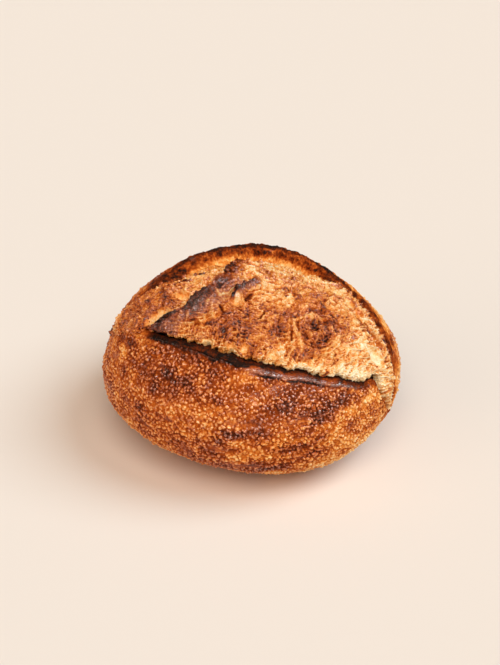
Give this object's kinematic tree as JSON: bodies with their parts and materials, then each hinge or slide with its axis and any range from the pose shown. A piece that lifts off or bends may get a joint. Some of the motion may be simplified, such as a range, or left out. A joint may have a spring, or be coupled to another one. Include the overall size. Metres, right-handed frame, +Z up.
{
  "type": "sourdough loaf",
  "caption": "Round sourdough loaf with a blistered brown crust, torn open along a slash, with a raised ear of crust behind golden torn crumb.",
  "frame": {"origin": "the middle of the loaf's bounding box at its flat foot", "axes": "+X to the loaf's right along its longest side, +Y to the back, where the ear stands, +Z up"},
  "size_m": [0.2282, 0.2186, 0.1419],
  "materials": {
    "crust": "baked crust: red-brown with small golden blisters, satin with glossy blister tops",
    "bloom": "torn, toasted crumb: golden orange and flaky, with pale gas cells, satin",
    "char": "burnt torn edge of the crust: near black, rough"
  },
  "bodies": {
    "root": {"sourdough_loaf": "crust"}
  },
  "joints": []
}
